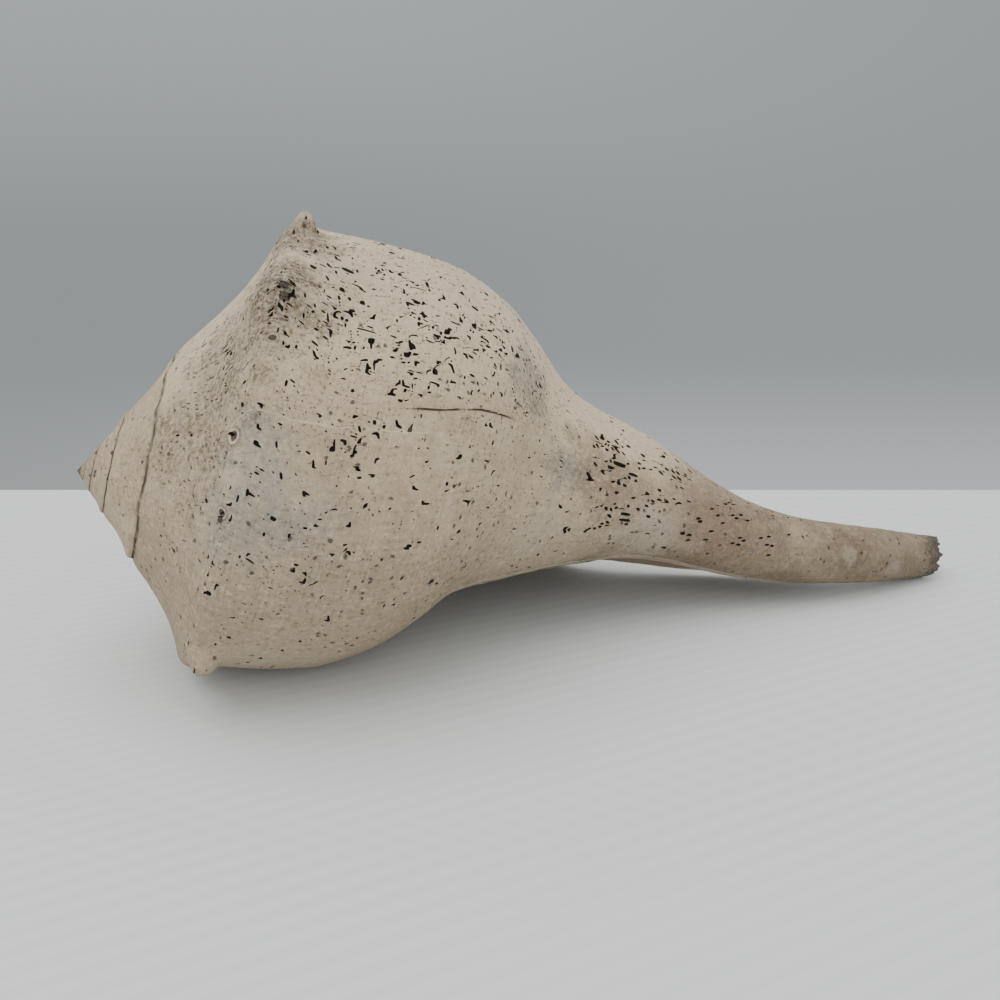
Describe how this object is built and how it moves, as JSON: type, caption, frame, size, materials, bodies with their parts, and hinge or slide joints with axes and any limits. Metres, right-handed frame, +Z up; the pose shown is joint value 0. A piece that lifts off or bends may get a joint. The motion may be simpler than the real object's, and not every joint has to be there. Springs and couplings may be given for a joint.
{
  "type": "lightning whelk shell",
  "caption": "Large left-coiling whelk sea shell, bleached and pitted, with knobbed shoulder, low spire, long open canal and hollow mouth; rests mouth down.",
  "frame": {"origin": "on the ground, under the middle of the shell's box", "axes": "+X from the spire towards the end of the canal, +Z up, shell lying mouth down"},
  "size_m": [0.2498, 0.1378, 0.1112],
  "materials": {
    "weathered_shell": "matte, chalky, pitted"
  },
  "bodies": {
    "root": {"whelk_shell": "weathered_shell"}
  },
  "joints": []
}
